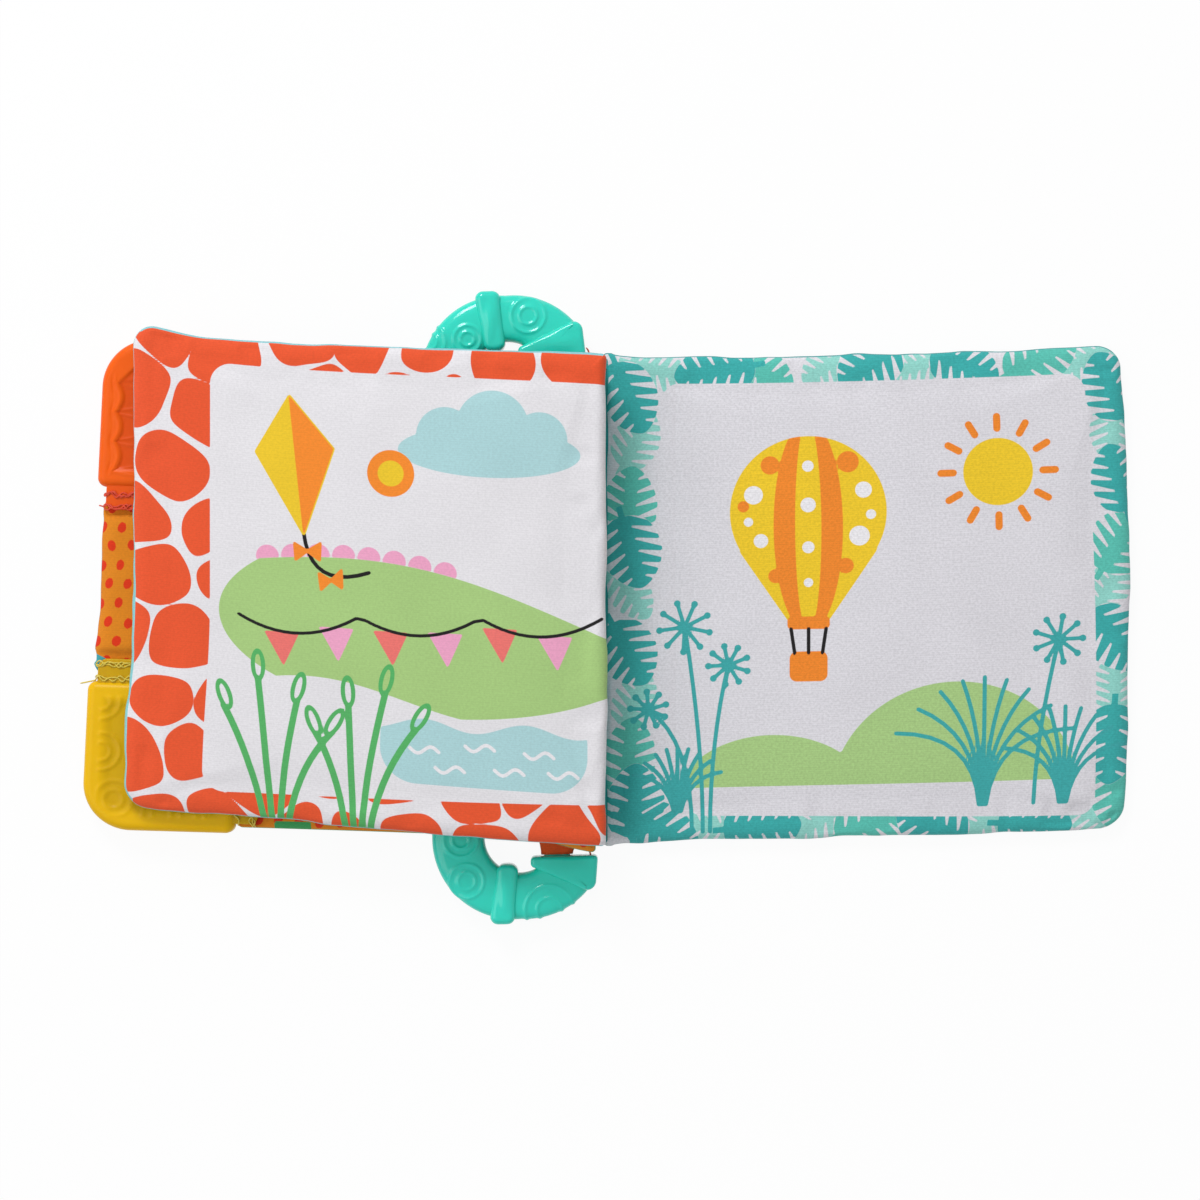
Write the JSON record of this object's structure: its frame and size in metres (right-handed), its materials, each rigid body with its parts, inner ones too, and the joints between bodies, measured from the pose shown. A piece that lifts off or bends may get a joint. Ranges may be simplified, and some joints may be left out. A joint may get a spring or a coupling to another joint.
{
  "type": "crinkle cloth book",
  "caption": "Soft padded cloth book that opens at a sewn spine, with crinkle film in its pages, moulded corner teethers and a loop handle.",
  "frame": {"origin": "on the table, under the middle of the spine, with the book lying open", "axes": "+X across the open book from the spine to the back cover's free edge, +Y up the pages, +Z away from the table"},
  "size_m": [0.29, 0.1752, 0.0247],
  "materials": {
    "patch_print_cloth": "printed knit polyester, satin matte",
    "aqua_cloth": "printed knit polyester, satin matte",
    "amber_dot_cloth": "printed woven cotton blend, matte",
    "cyan_cloth": "printed woven cotton blend, matte",
    "leaf_print_cloth": "printed knit polyester, satin matte",
    "teal_cloth": "printed knit polyester, satin matte",
    "orange_cloth": "plain woven cotton blend, matte",
    "wadding": "polyester wadding",
    "crinkle_film": "thin stiff plastic film",
    "orange_teether": "moulded thermoplastic rubber, satin",
    "yellow_teether": "moulded thermoplastic rubber, satin",
    "teal_handle": "moulded soft plastic, semi-gloss"
  },
  "bodies": {
    "front_cover": {"front_cover_inner_cloth": "amber_dot_cloth", "front_cover_outer_cloth": "cyan_cloth", "front_cover_crinkle_film": "crinkle_film", "front_cover_wadding": "wadding", "orange_corner_teether": "orange_teether", "yellow_corner_teether": "yellow_teether"},
    "leaf": {"leaf_front_cloth": "patch_print_cloth", "leaf_back_cloth": "aqua_cloth", "leaf_crinkle_film": "crinkle_film", "leaf_wadding": "wadding"},
    "back_cover": {"back_cover_inner_cloth": "leaf_print_cloth", "back_cover_outer_cloth": "teal_cloth", "back_cover_crinkle_film": "crinkle_film", "back_cover_wadding": "wadding", "spine_cloth": "teal_cloth"},
    "handle": {"loop_handle": "teal_handle", "handle_sleeve": "orange_cloth"}
  },
  "joints": [
    {"name": "leaf_turn", "type": "hinge", "parent": "front_cover", "child": "leaf", "pos_m": [0, 0, 0.016], "axis": [0, 1, 0], "range_deg": [0, 184.5]},
    {"name": "back_cover_close", "type": "hinge", "parent": "front_cover", "child": "back_cover", "pos_m": [0, 0, 0.016], "axis": [0, 1, 0], "range_deg": [-184.5, 0]},
    {"name": "handle_swing", "type": "hinge", "parent": "back_cover", "child": "handle", "pos_m": [0, 0, 0.0005], "axis": [0, 1, 0], "range_deg": [-170, 0]}
  ]
}
